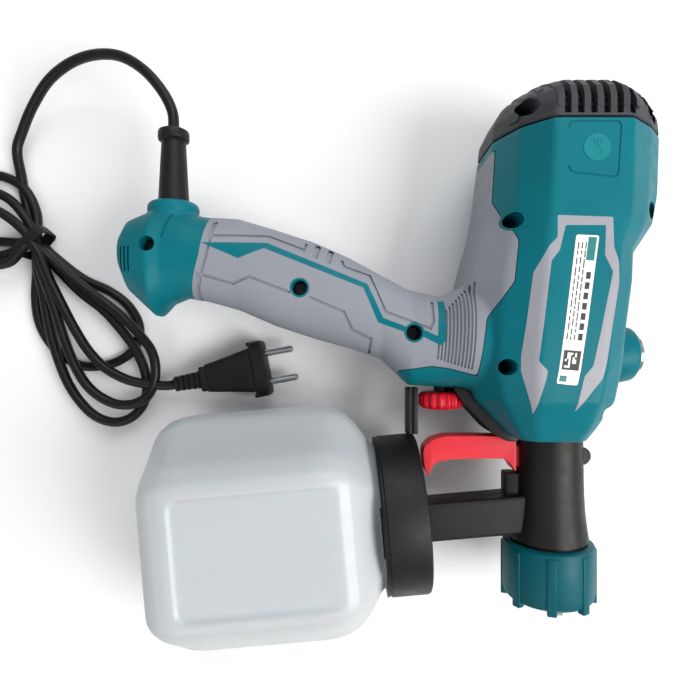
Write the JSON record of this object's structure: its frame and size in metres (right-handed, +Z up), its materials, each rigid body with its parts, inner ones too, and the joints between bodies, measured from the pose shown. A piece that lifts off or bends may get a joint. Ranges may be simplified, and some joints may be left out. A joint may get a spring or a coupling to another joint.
{
  "type": "hvlp spray gun",
  "caption": "Corded turbine paint spray gun with a soft grip, a screw-on translucent paint container, trigger, flow knob, nozzle and mains plug, lying on its side.",
  "frame": {"origin": "middle of the bottom of the box of the gun and its container, without the cord and plug, as it lies on its side", "axes": "+X towards the top of the gun, +Y towards its rear, +Z up from the surface it lies on; the nozzle faces -Y"},
  "size_m": [0.455, 0.3601, 0.1049],
  "materials": {
    "teal_plastic": "satin",
    "deep_teal_plastic": "satin",
    "dark_plastic": "matte",
    "black_plastic": "fine satin",
    "grey_grip": "soft matte",
    "grey_trim": "satin",
    "red_plastic": "satin",
    "milky_plastic": "translucent milky",
    "label_film": "printed film",
    "bright_metal": "polished",
    "steel": "brushed",
    "brass": "turned",
    "motor_iron": "laminated",
    "motor_copper": "wound wire",
    "cord_rubber": "matte",
    "gasket_rubber": "matte",
    "filter_foam": "open foam",
    "white_plastic": "satin"
  },
  "bodies": {
    "gun_body": {"right_housing": "teal_plastic", "left_housing": "teal_plastic", "right_rear_cap": "dark_plastic", "left_rear_cap": "dark_plastic", "right_grip": "grey_grip", "left_grip": "grey_grip", "right_trim": "grey_trim", "left_trim": "grey_trim", "rating_label": "label_film", "top_badge": "bright_metal", "air_filter": "filter_foam", "motor_stator": "motor_iron", "front_bearing": "steel", "rear_bearing": "steel", "air_guide": "black_plastic", "trigger_switch": "black_plastic", "internal_lead": "cord_rubber", "cord_clamp": "black_plastic", "cord_guard": "cord_rubber", "barrel": "black_plastic", "trigger_pin": "steel", "needle_spring": "steel", "fluid_nozzle": "brass", "container_lid": "black_plastic", "pickup_tube": "white_plastic", "pickup_strainer": "white_plastic", "pressure_tube": "black_plastic", "plug_body": "cord_rubber", "plug_pin_1": "bright_metal", "plug_pin_2": "bright_metal", "cord_lead": "cord_rubber", "cord_hank": "cord_rubber", "cord_tail": "cord_rubber", "housing_screw_1": "steel", "housing_screw_2": "steel", "housing_screw_3": "steel", "housing_screw_4": "steel", "housing_screw_5": "steel", "housing_screw_6": "steel", "housing_screw_7": "steel", "cap_screw_1": "steel", "cap_screw_2": "steel"},
    "trigger": {"trigger": "red_plastic"},
    "needle": {"needle": "steel"},
    "flow_screw": {"flow_screw": "black_plastic"},
    "flow_knob": {"flow_knob": "red_plastic", "knob_screw": "steel"},
    "union_nut": {"union_nut": "deep_teal_plastic"},
    "air_cap": {"air_cap": "grey_trim"},
    "lid_gasket": {"lid_gasket": "gasket_rubber"},
    "container": {"container": "milky_plastic"},
    "motor_rotor": {"motor_rotor": "motor_copper", "turbine_impeller": "white_plastic"}
  },
  "joints": [
    {"name": "trigger_pull", "type": "hinge", "parent": "gun_body", "child": "trigger", "pos_m": [0.11775, -0.04587, 0.052], "axis": [0, 0, -1], "range_deg": [0, 8], "stiffness_Nm_per_rad": 4, "springref_deg": -6.88},
    {"name": "needle_slide", "type": "slide", "parent": "gun_body", "child": "needle", "axis": [0, 1, 0], "range_m": [0, 0.0027], "deforming": ["needle_spring"]},
    {"name": "knob_advance", "type": "slide", "parent": "gun_body", "child": "flow_screw", "axis": [0, -1, 0], "range_m": [0, 0.0023]},
    {"name": "knob_turn", "type": "hinge", "parent": "flow_screw", "child": "flow_knob", "pos_m": [0.03575, -0.01437, 0.052], "axis": [0, 1, 0], "range_deg": [0, 540]},
    {"name": "union_nut_turn", "type": "hinge", "parent": "gun_body", "child": "union_nut", "pos_m": [0.09875, -0.11437, 0.052], "axis": [0, 1, 0], "range_deg": [0, 360]},
    {"name": "air_cap_turn", "type": "hinge", "parent": "gun_body", "child": "air_cap", "pos_m": [0.09875, -0.12437, 0.052], "axis": [0, 1, 0], "range_deg": [0, 90]},
    {"name": "container_slide", "type": "slide", "parent": "gun_body", "child": "lid_gasket", "axis": [-0.9962, -0.0872, 0], "range_m": [0, 0.135]},
    {"name": "container_turn", "type": "hinge", "parent": "lid_gasket", "child": "container", "pos_m": [-0.00125, -0.08137, 0.052], "axis": [0.9962, 0.0872, 0], "range_deg": [0, 450]},
    {"name": "motor_spin", "type": "hinge", "parent": "gun_body", "child": "motor_rotor", "pos_m": [0.09475, 0.06563, 0.052], "axis": [0, 1, 0], "continuous": true}
  ],
  "couplings": [
    {"joint": "needle_slide", "follows": "trigger_pull", "m_per_rad": 0.019},
    {"joint": "knob_advance", "follows": "knob_turn", "m_per_rad": 0.00023873}
  ]
}
